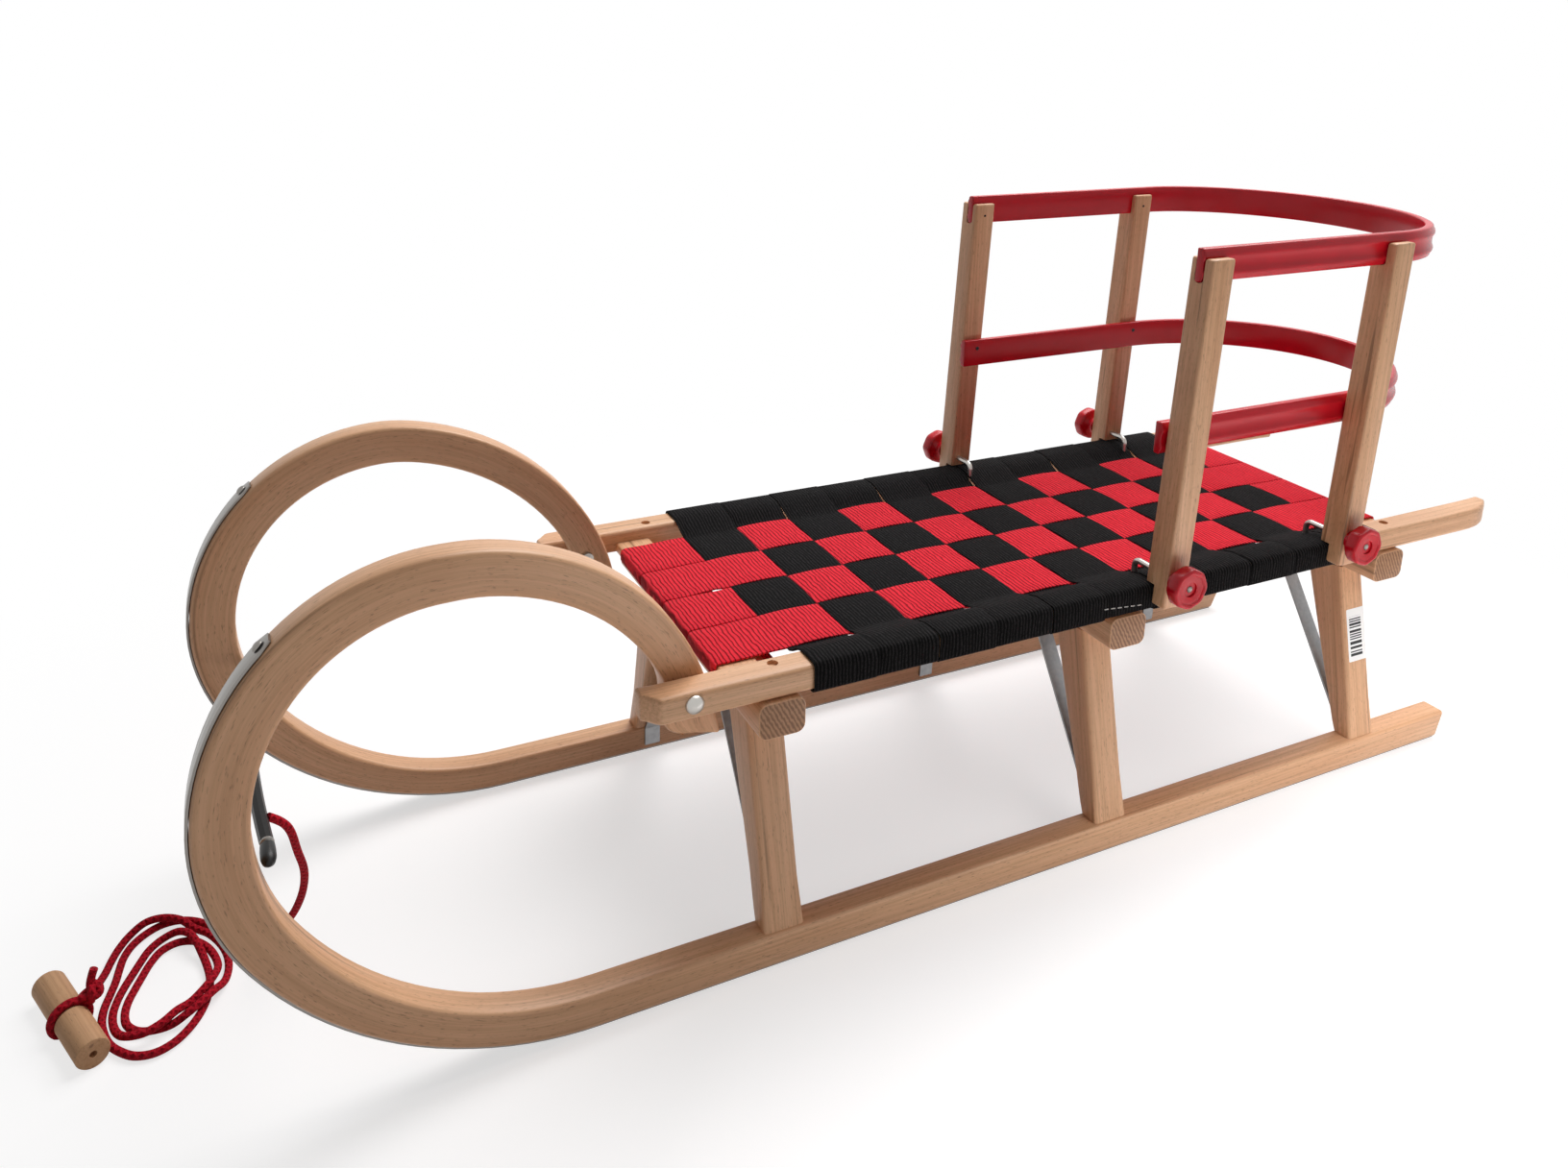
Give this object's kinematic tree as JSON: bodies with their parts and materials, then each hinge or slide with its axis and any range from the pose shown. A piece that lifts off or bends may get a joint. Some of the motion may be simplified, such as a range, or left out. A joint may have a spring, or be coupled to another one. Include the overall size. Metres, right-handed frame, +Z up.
{
  "type": "horned sled",
  "caption": "Wooden sled with upturned horns, steel-shod runners, a woven webbing seat, a removable backrest held by clamp knobs, and a pull rope with a wooden toggle.",
  "frame": {"origin": "on the ground under the shoes, on the centre plane, midway between the front of the horns and the rear ends of the seat rails", "axes": "+Z up, -Y forward towards the horns, +X to the rider's left"},
  "size_m": [0.4096, 1.3827, 0.5649],
  "materials": {
    "beech": "satin varnish",
    "shoe_steel": "satin",
    "stay_steel": "satin",
    "bolt_steel": "polished",
    "hook_steel": "polished",
    "bar_steel": "satin",
    "black_webbing": "woven, matte",
    "red_webbing": "woven, matte",
    "red_plastic": "glossy",
    "red_rope": "braided, matte",
    "toggle_wood": "matt"
  },
  "bodies": {
    "sled": {"shoe_left": "shoe_steel", "runner_left": "beech", "rail_left": "beech", "horn_bolt_left": "bolt_steel", "shoe_right": "shoe_steel", "runner_right": "beech", "rail_right": "beech", "horn_bolt_right": "bolt_steel", "crossbeam_front": "beech", "leg_front_left": "beech", "stay_front_left": "stay_steel", "leg_front_right": "beech", "stay_front_right": "stay_steel", "crossbeam_middle": "beech", "leg_middle_left": "beech", "stay_middle_left": "stay_steel", "leg_middle_right": "beech", "stay_middle_right": "stay_steel", "crossbeam_rear": "beech", "leg_rear_left": "beech", "stay_rear_left": "stay_steel", "leg_rear_right": "beech", "stay_rear_right": "stay_steel", "seat_bar_front": "beech", "seat_bar_rear": "beech", "strap_black_01": "black_webbing", "strap_black_02": "black_webbing", "strap_black_03": "black_webbing", "strap_black_04": "black_webbing", "strap_black_05": "black_webbing", "strap_black_06": "black_webbing", "strap_black_07": "black_webbing", "strap_black_08": "black_webbing", "strap_black_09": "black_webbing", "strap_black_10": "black_webbing", "strap_black_11": "black_webbing", "strap_red_1": "red_webbing", "strap_red_2": "red_webbing", "strap_red_3": "red_webbing", "strap_red_4": "red_webbing", "pull_bar": "bar_steel", "rope_free": "red_rope", "rope_coil": "red_rope", "rope_knot": "red_rope", "toggle": "toggle_wood"},
    "backrest": {"post_front_left": "beech", "post_front_right": "beech", "post_rear_left": "beech", "post_rear_right": "beech", "band_upper": "red_plastic", "band_lower": "red_plastic"},
    "knob_front_left": {"knob_front_left": "red_plastic"},
    "hook_front_left": {"hook_front_left": "hook_steel"},
    "knob_front_right": {"knob_front_right": "red_plastic"},
    "hook_front_right": {"hook_front_right": "hook_steel"},
    "knob_rear_left": {"knob_rear_left": "red_plastic"},
    "hook_rear_left": {"hook_rear_left": "hook_steel"},
    "knob_rear_right": {"knob_rear_right": "red_plastic"},
    "hook_rear_right": {"hook_rear_right": "hook_steel"}
  },
  "joints": [
    {"name": "backrest_lift", "type": "slide", "parent": "sled", "child": "backrest", "axis": [0, 0, 1], "range_m": [0, 0.06]},
    {"name": "knob_turn_front_left", "type": "hinge", "parent": "backrest", "child": "knob_front_left", "pos_m": [0.1838, 0.15956, 0.2718], "axis": [1, 0, 0], "range_deg": [0, 1440]},
    {"name": "hook_slide_front_left", "type": "slide", "parent": "backrest", "child": "hook_front_left", "axis": [-1, 0, 0], "range_m": [0, 0.004]},
    {"name": "knob_turn_front_right", "type": "hinge", "parent": "backrest", "child": "knob_front_right", "pos_m": [-0.1838, 0.15956, 0.2718], "axis": [-1, 0, 0], "range_deg": [0, 1440]},
    {"name": "hook_slide_front_right", "type": "slide", "parent": "backrest", "child": "hook_front_right", "axis": [1, 0, 0], "range_m": [0, 0.004]},
    {"name": "knob_turn_rear_left", "type": "hinge", "parent": "backrest", "child": "knob_rear_left", "pos_m": [0.1838, 0.37846, 0.2718], "axis": [1, 0, 0], "range_deg": [0, 1440]},
    {"name": "hook_slide_rear_left", "type": "slide", "parent": "backrest", "child": "hook_rear_left", "axis": [-1, 0, 0], "range_m": [0, 0.004]},
    {"name": "knob_turn_rear_right", "type": "hinge", "parent": "backrest", "child": "knob_rear_right", "pos_m": [-0.1838, 0.37846, 0.2718], "axis": [-1, 0, 0], "range_deg": [0, 1440]},
    {"name": "hook_slide_rear_right", "type": "slide", "parent": "backrest", "child": "hook_rear_right", "axis": [1, 0, 0], "range_m": [0, 0.004]}
  ],
  "couplings": [
    {"joint": "hook_slide_front_left", "follows": "knob_turn_front_left", "m_per_rad": 0.000159},
    {"joint": "hook_slide_front_right", "follows": "knob_turn_front_right", "m_per_rad": 0.000159},
    {"joint": "hook_slide_rear_left", "follows": "knob_turn_rear_left", "m_per_rad": 0.000159},
    {"joint": "hook_slide_rear_right", "follows": "knob_turn_rear_right", "m_per_rad": 0.000159}
  ]
}
